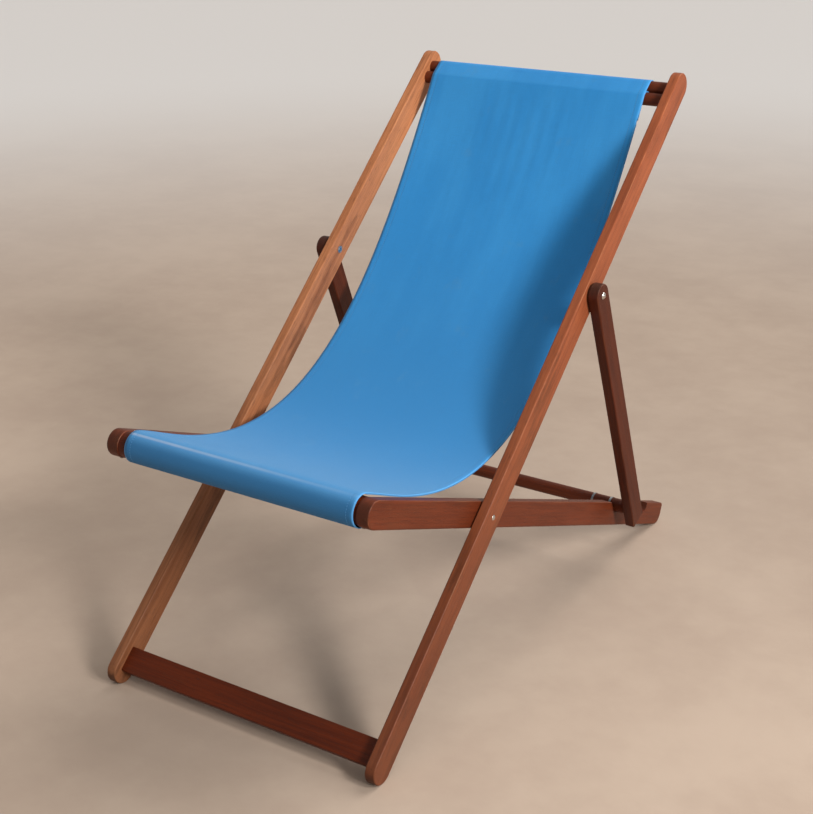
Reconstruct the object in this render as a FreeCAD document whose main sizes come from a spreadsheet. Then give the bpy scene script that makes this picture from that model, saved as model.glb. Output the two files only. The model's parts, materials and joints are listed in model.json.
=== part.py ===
import FreeCAD, Part
import math
import os
import Sketcher

# A folding wooden deck chair: a long back frame, a seat frame that crosses it on two
# rivets, and a prop whose bar lies in hooked notches in the seat rails.
# Axes: X across the chair, +Y to the rear, +Z up.  The origin is on the floor under the
# middle of the chair's overall box.  Millimetres.

V = FreeCAD.Vector

DRIVING = (
    # overall
    ("rail_span", 534, "over the outer faces of the back rails"),
    ("back_slope", 41.83, "degrees, back rails from the floor"),
    # back frame
    ("back_above", 892, "main pivot to the top end of a back rail"),
    ("back_below", 450, "main pivot to the foot end"),
    ("back_depth", 47, "depth of a back rail"),
    ("back_thick", 18, "thickness of a back rail"),
    ("dowel_dia", 23, "top dowels"),
    ("dowel_end", 32, "top end of a back rail to the upper dowel"),
    ("dowel_space", 2.5, "gap between the two top dowels"),
    ("stretcher_end", 42, "foot end to the middle of the stretcher"),
    ("stretcher_wide", 43, "stretcher, along the rails"),
    ("stretcher_thick", 18, "stretcher, across the rails' depth"),
    ("tenon_len", 12, "how far a cross member enters a rail"),
    ("tenon_shoulder", 4, "shoulder round the stretcher's tenon"),
    # seat frame
    ("seat_front", 340, "main pivot to the nose of a seat rail"),
    ("seat_rear", 780, "main pivot to the rear end of a seat rail"),
    ("seat_depth", 44, "depth of a seat rail"),
    ("seat_thick", 23, "thickness of a seat rail"),
    ("rear_corner", 6, "rounding of the upper rear corner"),
    ("front_bar_cover", 1.5, "front bar inside the outline of the nose"),
    ("front_bar_back", 14, "front bar, from its middle to its flat back"),
    ("front_tenon_dia", 26, "round tenon of the front bar"),
    ("notch_at", 541, "main pivot to the first notch"),
    ("notch_pitch", 70, "between notches"),
    ("notch_drop", 5, "prop bar's middle below the top of a seat rail"),
    ("notch_slope", 50, "degrees, front wall of a notch off the upright"),
    # prop
    ("prop_pivot", 426, "main pivot to the prop's pivot, along a back rail"),
    ("strut_depth", 40, "depth of a strut"),
    ("strut_thick", 19, "thickness of a strut"),
    ("strut_tail", 27, "strut's square end, past the middle of the prop bar"),
    ("bar_dia", 25, "prop bar"),
    ("band_thick", 0.7, "metal bands on the prop bar"),
    ("band_wide", 4, "width of a band"),
    ("band_inner", 24, "inner band, inboard of the seat rail"),
    # rivets and nails
    ("rivet_dia", 6, "shank of a rivet"),
    ("prop_head_dia", 12, "domed head of a prop rivet"),
    ("prop_head_high", 3.5, "height of that head"),
    ("pivot_head_dia", 9, "domed head of a main rivet"),
    ("pivot_head_high", 1.8, "height of that head"),
    ("burr_dia", 13, "burr under a rivet's set end"),
    ("burr_thick", 0.8, "thickness of a burr"),
    ("set_high", 0.8, "set end of a rivet, proud of its burr"),
    ("set_dia", 9, "set end of a rivet"),
    ("washer_dia", 20, "washers between the frames"),
    ("nail_dia", 2.5, "nails"),
    ("nail_head_dia", 5, "head of a nail"),
    ("nail_head_thick", 1, "thickness of a nail's head"),
    ("tack_count", 9, "tacks along the sling's front end"),
    ("tack_shank_dia", 1.6, "shank of a tack"),
    ("tack_head_dia", 8, "head of a tack"),
    ("tack_top_dia", 4, "flat top of that head"),
    ("tack_head_high", 1.2, "height of that head"),
    ("tack_bite", 9, "how far a tack enters the front bar"),
    ("tack_margin", 16, "outermost tack to a seat rail"),
    ("tack_rise", 12, "tacks above the lower edge of the front bar"),
    # clearances
    ("seat_gap", 2, "back rail to seat rail, side by side"),
    ("prop_gap", 3, "back rail to strut, side by side"),
    ("washer_play", 0.3, "washer or burr to the piece that turns beside it"),
    ("pivot_play", 0.05, "radial, a rail turning on a rivet"),
    ("bar_play", 0.5, "radial, banded prop bar in a notch"),
    ("arris", 2.5, "rounding along the rails' edges"),
    ("tack_play", 0.4, "tack to the sling, round its shank and under its head"),
    # sling
    ("sling_side_gap", 2, "sling to a seat rail, if it hung in the middle"),
    ("sling_shift", -1, "middle of the sling from the middle of the chair"),
    ("sling_thick", 1.2, "thickness of the sling's solid"),
    ("sling_gap", 0.5, "sling to the dowels and the front bar"),
    ("sling_flap", 24, "sling's end, up the back of the front bar"),
    ("sling_back_pull", 844, "how far the back's line carries into the curve"),
    ("sling_seat_pull", 129, "how far the seat's line carries into the curve"),
    ("sling_back_angle", 60.4, "degrees, the sling's slope below the dowels"),
    ("sling_seat_angle", 17.2, "degrees, the sling's slope behind the front bar"),
)

doc = FreeCAD.newDocument("deck_chair")
sheet = doc.addObject("Spreadsheet::Sheet", "Sizes")
finished = []


class Size:
    """A number together with the sheet expression that gives it."""

    def __init__(self, text, value):
        self.text = text
        self.value = value

    def __add__(self, other):
        other = as_size(other)
        return Size(f"({self.text} + {other.text})", self.value + other.value)

    def __sub__(self, other):
        other = as_size(other)
        return Size(f"({self.text} - {other.text})", self.value - other.value)

    def __mul__(self, other):
        other = as_size(other)
        return Size(f"({self.text} * {other.text})", self.value * other.value)

    def __truediv__(self, other):
        other = as_size(other)
        return Size(f"({self.text} / {other.text})", self.value / other.value)

    def __neg__(self):
        return Size(f"(0 - {self.text})", -self.value)


def as_size(number):
    return number if isinstance(number, Size) else Size(f"({number})", float(number))


def write_rows(rows, first_row):
    """Fill the sheet with (alias, value, note) rows and return the next free row."""
    for row, (alias, value, note) in enumerate(rows, first_row):
        sheet.set(f"A{row}", note)
        sheet.set(f"B{row}", repr(value))
        sheet.setAlias(f"B{row}", alias)
    doc.recompute()
    return first_row + len(rows)


def size(alias):
    return Size(f"Sizes.{alias}", float(sheet.get(alias)))


def number(alias):
    return float(sheet.get(alias))


# ---------------------------------------------------------------- side view of the chair

def along(slope):
    """Unit vector in the side view (Y, Z) for a slope in degrees."""
    return V(0, math.cos(math.radians(slope)), math.sin(math.radians(slope)))


def derive():
    """Work out the sizes that follow from the driving ones."""
    foot_radius = number("back_depth") / 2
    heel_radius = number("seat_depth") / 2
    foot_arm = number("back_below") - foot_radius
    pivot_height = foot_radius + foot_arm * math.sin(math.radians(number("back_slope")))
    heel_arm = number("seat_rear") - heel_radius
    seat_slope = math.degrees(math.asin((pivot_height - heel_radius) / heel_arm))
    # prop pivot and notch, seen from the seat rail
    open_angle = number("back_slope") + seat_slope
    pivot_x = number("prop_pivot") * math.cos(math.radians(open_angle))
    pivot_y = number("prop_pivot") * math.sin(math.radians(open_angle))
    reach_x = number("notch_at") - pivot_x
    reach_y = pivot_y - (heel_radius - number("notch_drop"))
    strut_slope = seat_slope + math.degrees(math.atan2(reach_y, reach_x))
    # the origin is midway between the foremost and the rearmost point
    back_cos = math.cos(math.radians(number("back_slope")))
    seat_cos = math.cos(math.radians(seat_slope))
    corner = number("rear_corner")
    corner_rise = (heel_radius - corner) * math.sin(math.radians(seat_slope))
    top_arm = number("back_above") - foot_radius
    nose_arm = number("seat_front") - heel_radius
    foremost = max(foot_arm * back_cos + foot_radius, nose_arm * seat_cos + heel_radius)
    rear_end = (number("seat_rear") - corner) * seat_cos + corner_rise + corner
    rearmost = max(rear_end, top_arm * back_cos + foot_radius)
    back_inner = number("rail_span") / 2 - number("back_thick")
    seat_outer = back_inner - number("seat_gap")
    strut_inner = number("rail_span") / 2 + number("prop_gap")
    return (
        ("pivot_height", pivot_height, "main pivot above the floor"),
        ("pivot_depth", (foremost - rearmost) / 2, "main pivot behind the origin"),
        ("seat_slope", seat_slope, "degrees, seat rails down to the rear"),
        ("strut_axis", math.hypot(reach_x, reach_y), "strut, between its two axes"),
        ("strut_slope", strut_slope, "degrees, struts down to the rear"),
        ("back_inner", back_inner, "middle of the chair to a back rail"),
        ("seat_outer", seat_outer, "middle to the outside of a seat rail"),
        ("seat_inner", seat_outer - number("seat_thick"), "middle to its inside"),
        ("strut_inner", strut_inner, "middle to the inside of a strut"),
        ("strut_outer", strut_inner + number("strut_thick"), "middle to its outside"),
    )


next_row = write_rows(DRIVING, 1)
write_rows(derive(), next_row)

PIVOT = V(0, number("pivot_depth"), number("pivot_height"))
BACK_DIR = along(number("back_slope"))
SEAT_DIR = along(-number("seat_slope"))
STRUT_DIR = along(-number("strut_slope"))
UPPER_DOWEL = number("back_above") - number("dowel_end")
LOWER_DOWEL = UPPER_DOWEL - number("dowel_dia") - number("dowel_space")
PROP_PIVOT = PIVOT + BACK_DIR * number("prop_pivot")
BAR_AXIS = PROP_PIVOT + STRUT_DIR * number("strut_axis")
BACK_FRONT = V(0, -BACK_DIR.z, BACK_DIR.y)
SEAT_UP = V(0, -SEAT_DIR.z, SEAT_DIR.y)


def side_placement(point, direction, side, face):
    """Local x along a rail, local z from its outer face inward (side +1 right, -1 left)."""
    inward = V(-side, 0, 0)
    depth = inward.cross(direction)
    turn = FreeCAD.Matrix(
        direction.x, depth.x, inward.x, side * face,
        direction.y, depth.y, inward.y, point.y,
        direction.z, depth.z, inward.z, point.z,
        0, 0, 0, 1,
    )
    return FreeCAD.Placement(turn)


def cross_placement(point, direction):
    """Local z across the chair, local x along a direction of the side view."""
    across = V(1, 0, 0)
    depth = across.cross(direction)
    turn = FreeCAD.Matrix(
        direction.x, depth.x, across.x, 0,
        direction.y, depth.y, across.y, point.y,
        direction.z, depth.z, across.z, point.z,
        0, 0, 0, 1,
    )
    return FreeCAD.Placement(turn)


# ---------------------------------------------------------------- sketches and features

def start_body(label):
    body = doc.addObject("PartDesign::Body", label)
    body.Label = label
    return body


def start_sketch(body, role, lift=None):
    plane = next(f for f in body.Origin.OriginFeatures if f.Role == role)
    sketch = body.newObject("Sketcher::SketchObject", "Sketch")
    sketch.AttachmentSupport = [(plane, "")]
    sketch.MapMode = "FlatFace"
    if lift is not None:
        sketch.AttachmentOffset = FreeCAD.Placement(V(0, 0, lift.value), FreeCAD.Rotation())
        sketch.setExpression("AttachmentOffset.Base.z", lift.text)
    return sketch


def bind(sketch, kind, *where, to):
    """Add a dimension and tie it to the sheet."""
    index = sketch.addConstraint(Sketcher.Constraint(kind, *where, to.value))
    sketch.setExpression(f"Constraints[{index}]", to.text)


def draw_circle(sketch, x, y, diameter):
    radius = diameter / 2
    circle = Part.Circle(V(x.value, y.value, 0), V(0, 0, 1), radius.value)
    edge = sketch.addGeometry(circle, False)
    bind(sketch, "DistanceX", -1, 1, edge, 3, to=x)
    bind(sketch, "DistanceY", -1, 1, edge, 3, to=y)
    bind(sketch, "Radius", edge, to=radius)


def arc_geometry(start, end, centre, turns_left):
    """The arc from start to end; the sketcher keeps every arc counter-clockwise."""
    first, last = (start, end) if turns_left else (end, start)
    radius = math.hypot(first.x - centre.x, first.y - centre.y)
    begin = math.atan2(first.y - centre.y, first.x - centre.x)
    finish = math.atan2(last.y - centre.y, last.x - centre.x)
    if finish <= begin:
        finish += 2 * math.pi
    circle = Part.Circle(V(centre.x, centre.y, 0), V(0, 0, 1), radius)
    return Part.ArcOfCircle(circle, begin, finish)


def draw_outline(sketch, corners, arcs=None):
    """Closed outline through corners; arcs[i] = (centre x, centre y, turns left)."""
    arcs = arcs or {}
    edges = []
    count = len(corners)
    for i, (x, y) in enumerate(corners):
        start = V(x.value, y.value, 0)
        next_x, next_y = corners[(i + 1) % count]
        end = V(next_x.value, next_y.value, 0)
        if i not in arcs:
            edges.append((sketch.addGeometry(Part.LineSegment(start, end), False), 1, 2))
            continue
        centre_x, centre_y, turns_left = arcs[i]
        centre = V(centre_x.value, centre_y.value, 0)
        edge = sketch.addGeometry(arc_geometry(start, end, centre, turns_left), False)
        edges.append((edge, 1, 2) if turns_left else (edge, 2, 1))
    for i, (edge, start_point, end_point) in enumerate(edges):
        following, next_start, _ = edges[(i + 1) % count]
        sketch.addConstraint(
            Sketcher.Constraint("Coincident", edge, end_point, following, next_start)
        )
        x, y = corners[i]
        bind(sketch, "DistanceX", -1, 1, edge, start_point, to=x)
        bind(sketch, "DistanceY", -1, 1, edge, start_point, to=y)
    for i, (centre_x, centre_y, _) in arcs.items():
        x, y = corners[i]
        next_x, next_y = corners[(i + 1) % count]
        edge = edges[i][0]
        if abs(next_x.value - x.value) > abs(next_y.value - y.value):
            bind(sketch, "DistanceY", -1, 1, edge, 3, to=centre_y)
        else:
            bind(sketch, "DistanceX", -1, 1, edge, 3, to=centre_x)


def pad(body, sketch, length, both_ways=False):
    feature = body.newObject("PartDesign::Pad", "Pad")
    feature.Profile = sketch
    feature.SideType = "Symmetric" if both_ways else "One side"
    feature.Length = length.value
    feature.setExpression("Length", length.text)
    return feature


def pocket(body, sketch, depth=None, onward=False):
    """Cut from the sketch into the solid; onward cuts along the sketch's own normal."""
    feature = body.newObject("PartDesign::Pocket", "Pocket")
    feature.Profile = sketch
    feature.Reversed = onward
    if depth is None:
        feature.Type = "ThroughAll"
    else:
        feature.Length = depth.value
        feature.setExpression("Length", depth.text)
    return feature


def round_ends(body, feature, radius, axis):
    """Round the outline edges of the two end faces square to a local axis."""
    doc.recompute()
    names = [
        f"Face{i}"
        for i, face in enumerate(feature.Shape.Faces, 1)
        if isinstance(face.Surface, Part.Plane)
        and abs(face.Surface.Axis.dot(axis)) > 0.999
    ]
    fillet = body.newObject("PartDesign::Fillet", "Arris")
    fillet.Base = (feature, names)
    fillet.Radius = radius.value
    fillet.setExpression("Radius", radius.text)
    return fillet


def finish(body, placement):
    body.Placement = placement
    finished.append(body)


def drill(body, x, y, diameter, depth=None, lift=None):
    """A hole along local z: through from the outer face, or blind from a lifted plane."""
    sketch = start_sketch(body, "XY_Plane", lift)
    draw_circle(sketch, x, y, diameter)
    pocket(body, sketch, depth, onward=lift is None)


def drill_edge(body, x, z, diameter, towards_plus_y):
    """A nail hole along local y, from the middle of the rail out through one edge."""
    sketch = start_sketch(body, "XZ_Plane")
    draw_circle(sketch, x, z, diameter)
    pocket(body, sketch, onward=not towards_plus_y)


# ---------------------------------------------------------------- wooden rails and struts

def stadium(sketch, left, right, radius):
    """Outline of a rail with half-round ends; left and right are the ends' centres."""
    zero = as_size(0)
    corners = [(left, -radius), (right, -radius), (right, radius), (left, radius)]
    draw_outline(sketch, corners, {1: (right, zero, True), 3: (left, zero, True)})


def make_back_rail(label, side):
    body = start_body(label)
    zero = as_size(0)
    radius = size("back_depth") / 2
    thick = size("back_thick")
    sketch = start_sketch(body, "XY_Plane")
    stadium(sketch, radius - size("back_below"), size("back_above") - radius, radius)
    round_ends(body, pad(body, sketch, thick), size("arris"), V(0, 0, 1))
    tenon = size("tenon_len")
    tenon_middle = thick - tenon / 2
    stretcher_x = size("stretcher_end") - size("back_below")
    upper_x = size("back_above") - size("dowel_end")
    lower_x = upper_x - size("dowel_dia") - size("dowel_space")
    drill(body, zero, zero, size("rivet_dia"))
    drill(body, size("prop_pivot"), zero, size("rivet_dia"))
    for dowel_x in (upper_x, lower_x):
        drill(body, dowel_x, zero, size("dowel_dia"), tenon, lift=thick)
    mortise = start_sketch(body, "XY_Plane", thick)
    half_wide = size("stretcher_wide") / 2 - size("tenon_shoulder")
    half_thick = size("stretcher_thick") / 2 - size("tenon_shoulder")
    corners = [
        (stretcher_x - half_wide, -half_thick),
        (stretcher_x + half_wide, -half_thick),
        (stretcher_x + half_wide, half_thick),
        (stretcher_x - half_wide, half_thick),
    ]
    draw_outline(mortise, corners)
    pocket(body, mortise, tenon)
    rear_is_plus_y = side > 0
    for nail_x in (upper_x, lower_x, stretcher_x):
        drill_edge(body, nail_x, tenon_middle, size("nail_dia"), rear_is_plus_y)
    finish(body, side_placement(PIVOT, BACK_DIR, side, number("rail_span") / 2))


def notch_outline(body, centre_x, up):
    """A hooked notch: the bar lies in its round end and leaves upward and forward."""
    lift = size("seat_depth") / 2 - size("notch_drop")
    radius = size("bar_dia") / 2 + size("band_thick") + size("bar_play")
    above = size("seat_depth") / 2 + size("arris")
    lean = math.radians(number("notch_slope"))
    wall_x = centre_x - radius * math.cos(lean)
    wall_y = lift - radius * math.sin(lean)
    top_x = wall_x - (above - wall_y) * math.tan(lean)
    rear_x = centre_x + radius
    corners = [
        (rear_x, above * up),
        (top_x, above * up),
        (wall_x, wall_y * up),
        (rear_x, lift * up),
    ]
    sketch = start_sketch(body, "XY_Plane")
    draw_outline(sketch, corners, {2: (centre_x, lift * up, up > 0)})
    return sketch


def make_seat_rail(label, side):
    body = start_body(label)
    up = -side
    zero = as_size(0)
    half = size("seat_depth") / 2
    thick = size("seat_thick")
    corner = size("rear_corner")
    rear = size("seat_rear")
    nose_x = half - size("seat_front")
    heel_x = rear - half
    corners = [
        (nose_x, half * up),
        (nose_x, half * -up),
        (heel_x, half * -up),
        (rear, zero),
        (rear, (half - corner) * up),
        (rear - corner, half * up),
    ]
    turns_left = up > 0
    arcs = {
        0: (nose_x, zero, turns_left),
        2: (heel_x, zero, turns_left),
        4: (rear - corner, (half - corner) * up, turns_left),
    }
    sketch = start_sketch(body, "XY_Plane")
    draw_outline(sketch, corners, arcs)
    round_ends(body, pad(body, sketch, thick), size("arris"), V(0, 0, 1))
    for place in range(3):
        centre_x = size("notch_at") + size("notch_pitch") * place
        pocket(body, notch_outline(body, centre_x, up), onward=True)
    drill(body, zero, zero, size("rivet_dia") + size("pivot_play") * 2)
    tenon = size("tenon_len")
    drill(body, nose_x, zero, size("front_tenon_dia"), tenon, lift=thick)
    underside_is_plus_y = up < 0
    drill_edge(body, nose_x, thick - tenon / 2, size("nail_dia"), underside_is_plus_y)
    finish(body, side_placement(PIVOT, SEAT_DIR, side, number("seat_outer")))


def make_strut(label, side):
    body = start_body(label)
    zero = as_size(0)
    thick = size("strut_thick")
    axis = size("strut_axis")
    foot = axis + size("strut_tail")
    half = size("strut_depth") / 2
    sketch = start_sketch(body, "XY_Plane")
    corners = [(zero, -half), (foot, -half), (foot, half), (zero, half)]
    draw_outline(sketch, corners, {3: (zero, zero, True)})
    round_ends(body, pad(body, sketch, thick), size("arris"), V(0, 0, 1))
    tenon = size("tenon_len")
    drill(body, zero, zero, size("rivet_dia") + size("pivot_play") * 2)
    drill(body, axis, zero, size("bar_dia"), tenon, lift=thick)
    rear_is_plus_y = side < 0
    drill_edge(body, axis, thick - tenon / 2, size("nail_dia"), rear_is_plus_y)
    finish(body, side_placement(PROP_PIVOT, STRUT_DIR, side, number("strut_outer")))


# ---------------------------------------------------------------- cross members

def drill_tenons(body, across, towards_plus_y):
    """Nail holes along local y, from the axis out through one side of both tenons."""
    sketch = start_sketch(body, "XZ_Plane")
    for place in (-across, across):
        draw_circle(sketch, as_size(0), place, size("nail_dia"))
    pocket(body, sketch, onward=not towards_plus_y)


def make_round_bar(label, diameter, shoulder, point, direction, nailed_from_plus_y):
    body = start_body(label)
    zero = as_size(0)
    tenon = size("tenon_len")
    sketch = start_sketch(body, "XY_Plane")
    draw_circle(sketch, zero, zero, diameter)
    pad(body, sketch, (shoulder + tenon) * 2, both_ways=True)
    drill_tenons(body, shoulder + tenon / 2, nailed_from_plus_y)
    finish(body, cross_placement(point, direction))


def make_stretcher():
    """A flat board across the feet, its wide face in the plane of the back frame."""
    body = start_body("foot_stretcher")
    zero = as_size(0)
    half_wide = size("stretcher_wide") / 2
    half_thick = size("stretcher_thick") / 2
    shoulder = size("tenon_shoulder")
    span = size("back_inner") * 2

    def board(wide, thick, length):
        sketch = start_sketch(body, "XY_Plane")
        corners = [(-wide, -thick), (wide, -thick), (wide, thick), (-wide, thick)]
        draw_outline(sketch, corners)
        return pad(body, sketch, length, both_ways=True)

    bulk = board(half_wide, half_thick, span)
    doc.recompute()
    long_edges = [
        f"Edge{i}"
        for i, edge in enumerate(bulk.Shape.Edges, 1)
        if abs(edge.tangentAt(edge.FirstParameter).z) > 0.999
    ]
    fillet = body.newObject("PartDesign::Fillet", "Arris")
    fillet.Base = (bulk, long_edges)
    fillet.Radius = size("arris").value
    fillet.setExpression("Radius", size("arris").text)
    tenon = size("tenon_len")
    board(half_wide - shoulder, half_thick - shoulder, span + tenon * 2)
    drill_tenons(body, size("back_inner") + tenon / 2, towards_plus_y=False)
    along_rail = number("stretcher_end") - number("back_below")
    finish(body, cross_placement(PIVOT + BACK_DIR * along_rail, BACK_DIR))


def make_front_bar():
    """Half round in front, flat behind, with a round tenon at each end."""
    body = start_body("front_bar")
    zero = as_size(0)
    radius = size("seat_depth") / 2 - size("front_bar_cover")
    back = size("front_bar_back")
    span = size("seat_inner") * 2
    corners = [(zero, radius), (zero, -radius), (back, -radius), (back, radius)]
    section = start_sketch(body, "XY_Plane")
    draw_outline(section, corners, {0: (zero, zero, True)})
    pad(body, section, span, both_ways=True)
    tenons = start_sketch(body, "XY_Plane")
    draw_circle(tenons, zero, zero, size("front_tenon_dia"))
    tenon = size("tenon_len")
    pad(body, tenons, span + tenon * 2, both_ways=True)
    drill_tenons(body, size("seat_inner") + tenon / 2, towards_plus_y=False)
    holes = start_sketch(body, "YZ_Plane", back - size("tack_bite"))
    for place in tack_places():
        draw_circle(holes, size("tack_rise") - radius, place, size("tack_shank_dia"))
    pocket(body, holes, onward=True)
    finish(body, cross_placement(front_bar_middle(), SEAT_DIR))


# ---------------------------------------------------------------- metal

def turned(label, corners, arcs, placement):
    """A piece turned about local z from a half section in local x (radius) and z."""
    body = start_body(label)
    sketch = start_sketch(body, "XZ_Plane")
    draw_outline(sketch, corners, arcs)
    feature = body.newObject("PartDesign::Revolution", "Turned")
    feature.Profile = sketch
    feature.ReferenceAxis = (sketch, ["V_Axis"])
    feature.Angle = 360
    finish(body, placement)


def make_rivet(label, side, point, outer_face, head, grip):
    """A rivet from its domed head through the grip to its set end inside."""
    head_dia, head_high = head
    zero = as_size(0)
    shank = size("rivet_dia") / 2
    edge = size(head_dia) / 2
    high = size(head_high)
    dome = (edge * edge / high - high) / 2
    set_at = grip + size("burr_thick")
    set_end = set_at + size("set_high")
    corners = [
        (zero, -high),
        (edge, zero),
        (shank, zero),
        (shank, set_at),
        (size("set_dia") / 2, set_at),
        (shank, set_end),
        (zero, set_end),
    ]
    arcs = {0: (zero, dome, True)}
    placement = side_placement(point, V(0, 1, 0), side, outer_face)
    turned(label, corners, arcs, placement)


def make_ring(label, outer_dia, inner_dia, thick, placement):
    body = start_body(label)
    zero = as_size(0)
    sketch = start_sketch(body, "XY_Plane")
    draw_circle(sketch, zero, zero, outer_dia)
    draw_circle(sketch, zero, zero, inner_dia)
    pad(body, sketch, thick)
    finish(body, placement)


def make_group(label, solids):
    """Identical fasteners or bands kept together as separate solids."""
    group = doc.addObject("Part::Feature", label)
    group.Label = label
    group.Shape = Part.makeCompound(solids)
    finished.append(group)


def nail(point, outward, depth):
    """A round nail whose head sits on the surface at a point."""
    shank = Part.makeCylinder(number("nail_dia") / 2, depth, point, outward * -1)
    head_radius = number("nail_head_dia") / 2
    head = Part.makeCylinder(head_radius, number("nail_head_thick"), point, outward)
    return shank.fuse(head).removeSplitter()


def rail_nails(label, places, outward, half_depth, across):
    """Nails in both rails, driven through an edge into the end of a cross member."""
    solids = []
    for side in (-1, 1):
        for place in places:
            point = place + V(side * across, 0, 0) + outward * half_depth
            solids.append(nail(point, outward, half_depth))
    make_group(label, solids)


# ---------------------------------------------------------------- sling

def front_bar_middle():
    return PIVOT + SEAT_DIR * (number("seat_depth") / 2 - number("seat_front"))


def front_bar_corner():
    """The lower rear corner of the front bar."""
    radius = number("seat_depth") / 2 - number("front_bar_cover")
    return front_bar_middle() + SEAT_DIR * number("front_bar_back") - SEAT_UP * radius


def tack_places():
    """Places of the tacks across the chair."""
    count = int(number("tack_count"))
    reach = size("seat_inner") - size("tack_margin")
    return [reach * (2 * i / (count - 1) - 1) for i in range(count)]


def tack_points():
    """Where the tacks enter the back of the front bar."""
    row = front_bar_corner() + SEAT_UP * number("tack_rise")
    return [row + V(place.value, 0, 0) for place in tack_places()]


def make_tacks():
    """Flat-topped tacks that hold the sling's end to the back of the front bar."""
    stand = number("sling_gap") + number("sling_thick") + number("tack_play")
    head_radius = number("tack_head_dia") / 2
    top_radius = number("tack_top_dia") / 2
    tacks = []
    for point in tack_points():
        base = point + SEAT_DIR * stand
        shank_length = stand + number("tack_bite")
        shank_radius = number("tack_shank_dia") / 2
        shank = Part.makeCylinder(shank_radius, shank_length, base, SEAT_DIR * -1)
        head = Part.makeCone(
            head_radius, top_radius, number("tack_head_high"), base, SEAT_DIR
        )
        tacks.append(shank.fuse(head).removeSplitter())
    make_group("sling_tacks", tacks)


def sling_curve(offset):
    """Edges of the sling's line from behind the dowels to the back of the front bar,
    moved off the line by offset, towards the sitter where it hangs."""
    reach = number("dowel_dia") / 2 + number("sling_gap") + number("sling_thick") / 2
    over = reach + offset
    upper = PIVOT + BACK_DIR * UPPER_DOWEL
    lower = PIVOT + BACK_DIR * LOWER_DOWEL
    bar_radius = number("seat_depth") / 2 - number("front_bar_cover")
    round_bar = bar_radius + number("sling_gap") + number("sling_thick") / 2
    under = round_bar + offset
    bar = front_bar_middle()
    corner = front_bar_corner()
    round_corner = number("sling_gap") + number("sling_thick") / 2 + offset
    flap_start = corner + SEAT_DIR * round_corner
    diagonal = (SEAT_DIR - SEAT_UP) * (round_corner / math.sqrt(2))
    edges = [
        Part.LineSegment(lower - BACK_FRONT * over, upper - BACK_FRONT * over),
        Part.Arc(upper - BACK_FRONT * over, upper + BACK_DIR * over, upper + BACK_FRONT * over),
        Part.LineSegment(upper + BACK_FRONT * over, lower + BACK_FRONT * over),
    ]
    start = lower + BACK_FRONT * reach
    end = bar + SEAT_UP * round_bar
    poles = (
        start,
        start - along(number("sling_back_angle")) * number("sling_back_pull"),
        end + along(-number("sling_seat_angle")) * number("sling_seat_pull"),
        end,
    )
    hang = Part.BezierCurve()
    hang.setPoles(poles)
    shifted = [lower + BACK_FRONT * over]
    steps = 16
    for step in range(1, steps):
        at = step / steps
        tangent = hang.tangent(at)[0]
        shifted.append(hang.value(at) + V(1, 0, 0).cross(tangent) * -offset)
    shifted.append(bar + SEAT_UP * under)
    spline = Part.BSplineCurve()
    spline.interpolate(shifted)
    edges += [
        spline,
        Part.Arc(bar + SEAT_UP * under, bar - SEAT_DIR * under, bar - SEAT_UP * under),
        Part.LineSegment(bar - SEAT_UP * under, corner - SEAT_UP * round_corner),
        Part.Arc(corner - SEAT_UP * round_corner, corner + diagonal, flap_start),
        Part.LineSegment(flap_start, flap_start + SEAT_UP * number("sling_flap")),
    ]
    return edges


def make_sling():
    """One strip of canvas over the dowels, down into the seat, round the front bar and
    up its back, where it is tacked."""
    half = number("sling_thick") / 2
    upper_side = sling_curve(half)
    lower_side = sling_curve(-half)
    edges = [curve.toShape() for curve in upper_side + lower_side]
    for left, right in ((upper_side[0].StartPoint, lower_side[0].StartPoint),
                        (upper_side[-1].EndPoint, lower_side[-1].EndPoint)):
        edges.append(Part.LineSegment(left, right).toShape())
    wire = Part.Wire(Part.__sortEdges__(edges))
    wide = 2 * (number("seat_inner") - number("sling_side_gap"))
    strip = Part.Face(wire).extrude(V(wide, 0, 0))
    left_edge = number("sling_shift") - wide / 2
    strip.translate(V(left_edge, 0, 0))
    hole_radius = number("tack_shank_dia") / 2 + number("tack_play")
    reach = number("sling_gap") + number("sling_thick") + number("tack_play")
    for point in tack_points():
        strip = strip.cut(Part.makeCylinder(hole_radius, reach, point, SEAT_DIR))
    sling = doc.addObject("Part::Feature", "sling")
    sling.Label = "sling"
    sling.Shape = strip
    finished.append(sling)


# ---------------------------------------------------------------- the chair

SIDES = (("left", -1), ("right", 1))


def make_back_frame():
    for name, side in SIDES:
        make_back_rail(f"back_rail_{name}", side)
    make_stretcher()
    for name, place in (("upper", UPPER_DOWEL), ("lower", LOWER_DOWEL)):
        make_round_bar(
            f"top_dowel_{name}", size("dowel_dia"), size("back_inner"),
            PIVOT + BACK_DIR * place, BACK_DIR, nailed_from_plus_y=False,
        )
    stretcher = number("stretcher_end") - number("back_below")
    places = [PIVOT + BACK_DIR * place for place in (UPPER_DOWEL, LOWER_DOWEL, stretcher)]
    across = number("back_inner") + number("tenon_len") / 2
    rail_nails("back_frame_nails", places, BACK_FRONT * -1, number("back_depth") / 2, across)


def make_seat_frame():
    for name, side in SIDES:
        make_seat_rail(f"seat_rail_{name}", side)
    make_front_bar()
    across = number("seat_inner") + number("tenon_len") / 2
    half_depth = number("seat_depth") / 2
    rail_nails("seat_frame_nails", [front_bar_middle()], SEAT_UP * -1, half_depth, across)


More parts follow.
